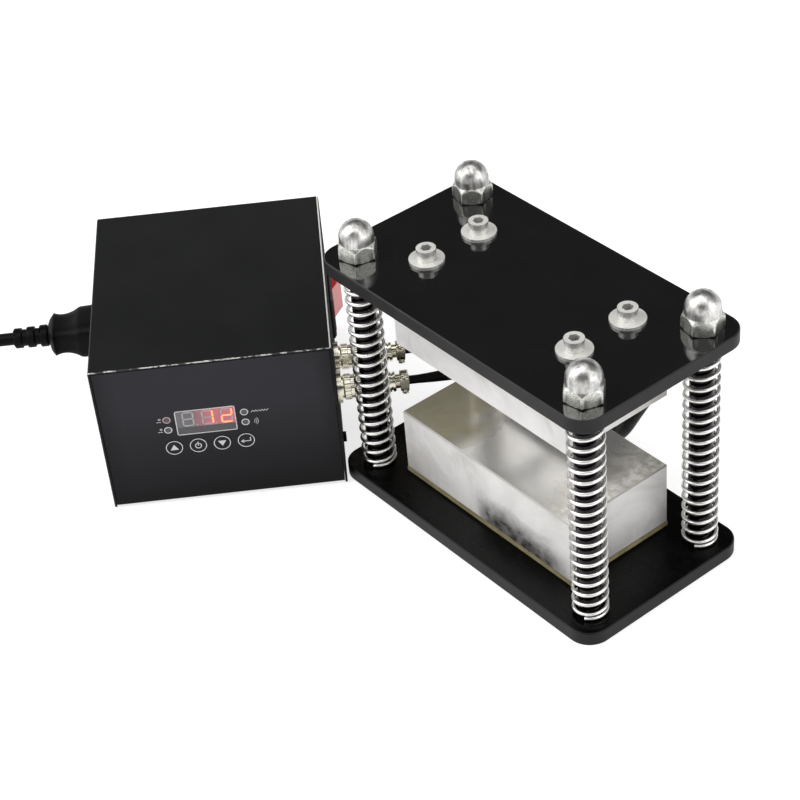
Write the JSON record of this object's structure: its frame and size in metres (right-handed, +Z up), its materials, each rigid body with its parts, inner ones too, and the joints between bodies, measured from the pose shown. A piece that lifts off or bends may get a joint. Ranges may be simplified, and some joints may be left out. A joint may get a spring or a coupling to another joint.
{
  "type": "hydraulic heat press",
  "caption": "Caged pair of electrically heated aluminium platens on sprung guide rods, with a temperature control box and its cords.",
  "frame": {"origin": "centre of the base plate's underside", "axes": "+Z up, +X along the plates, +Y across them towards the heater leads"},
  "size_m": [0.4319, 0.3934, 0.158],
  "materials": {
    "black_steel": "glossy black stoved paint",
    "insulation": "pressed mica board, tan",
    "block_aluminium": "milled, fine brushed faces",
    "screw_steel": "plain zinc plate",
    "rod_steel": "ground",
    "nut_chrome": "bright plate",
    "spring_steel": "bright zinc plate",
    "cable_black": "satin black jacket",
    "lead_sleeve": "woven glass sleeve",
    "case_paint": "fine textured black paint",
    "foot_rubber": "matt",
    "overlay_film": "glossy black film with pale marks",
    "window_tint": "smoked",
    "display_body": "plain",
    "board_green": "solder mask",
    "lamp_lens": "clear lens",
    "transformer_body": "varnished core",
    "connector_nickel": "nickel plate, warm",
    "switch_body": "fine grain",
    "rocker_red": "smooth"
  },
  "bodies": {
    "base": {"base_plate": "black_steel", "lower_insulation_sheet": "insulation", "lower_heater_block": "block_aluminium", "lower_block_screws": "screw_steel", "lower_cartridge_heaters": "screw_steel", "lower_thermocouple": "screw_steel", "guide_rod_front_left": "rod_steel", "guide_rod_front_right": "rod_steel", "guide_rod_back_left": "rod_steel", "guide_rod_back_right": "rod_steel", "dome_nuts": "nut_chrome", "spring_front_left": "spring_steel", "spring_front_right": "spring_steel", "spring_back_left": "spring_steel", "spring_back_right": "spring_steel", "lower_heater_cable": "cable_black", "upper_heater_cable": "cable_black", "lower_lead_junction": "cable_black", "lower_heater_leads": "lead_sleeve", "case_cover": "case_paint", "case_chassis": "case_paint", "case_screws": "case_paint", "case_feet": "foot_rubber", "front_overlay": "overlay_film", "display_window": "window_tint", "display_module": "display_body", "control_board": "board_green", "indicator_leds": "lamp_lens", "power_board": "board_green", "power_transformer": "transformer_body", "heater_relays": "display_body", "lower_heater_socket": "connector_nickel", "lower_plug_ring": "connector_nickel", "lower_plug_shell": "connector_nickel", "upper_heater_socket": "connector_nickel", "upper_plug_ring": "connector_nickel", "upper_plug_shell": "connector_nickel", "rocker_switch_housing": "switch_body", "power_inlet": "switch_body", "inlet_screws": "case_paint", "mains_connector": "cable_black", "mains_cord": "cable_black", "mains_cord_coil": "cable_black", "mains_plug": "cable_black"},
    "platen": {"top_plate": "black_steel", "upper_insulation_sheet": "insulation", "upper_heater_block": "block_aluminium", "upper_block_screws": "screw_steel", "upper_screw_washers": "screw_steel", "upper_cartridge_heaters": "screw_steel", "upper_thermocouple": "screw_steel", "upper_heater_leads": "lead_sleeve", "upper_lead_junction": "cable_black"},
    "rocker_arm": {"rocker": "rocker_red"},
    "key_up_cap": {"key_up": "overlay_film"},
    "key_ok_cap": {"key_ok": "overlay_film"},
    "key_down_cap": {"key_down": "overlay_film"},
    "key_enter_cap": {"key_enter": "overlay_film"}
  },
  "joints": [
    {"name": "press_slide", "type": "slide", "parent": "base", "child": "platen", "axis": [0, 0, -1], "range_m": [0, 0.0426], "stiffness_N_per_m": 7400, "springref_m": -0.01, "deforming": ["spring_front_left", "spring_front_right", "spring_back_left", "spring_back_right", "upper_heater_cable"]},
    {"name": "power_rocker", "type": "hinge", "parent": "base", "child": "rocker_arm", "pos_m": [-0.16919, 0.00248, 0.045], "axis": [0, 0, 1], "range_deg": [0, 25]},
    {"name": "key_up_press", "type": "slide", "parent": "base", "child": "key_up_cap", "axis": [-0.8207, 0.5714, 0], "range_m": [0, 0.0003], "stiffness_N_per_m": 400},
    {"name": "key_ok_press", "type": "slide", "parent": "base", "child": "key_ok_cap", "axis": [-0.8207, 0.5714, 0], "range_m": [0, 0.0003], "stiffness_N_per_m": 400},
    {"name": "key_down_press", "type": "slide", "parent": "base", "child": "key_down_cap", "axis": [-0.8207, 0.5714, 0], "range_m": [0, 0.0003], "stiffness_N_per_m": 400},
    {"name": "key_enter_press", "type": "slide", "parent": "base", "child": "key_enter_cap", "axis": [-0.8207, 0.5714, 0], "range_m": [0, 0.0003], "stiffness_N_per_m": 400}
  ]
}
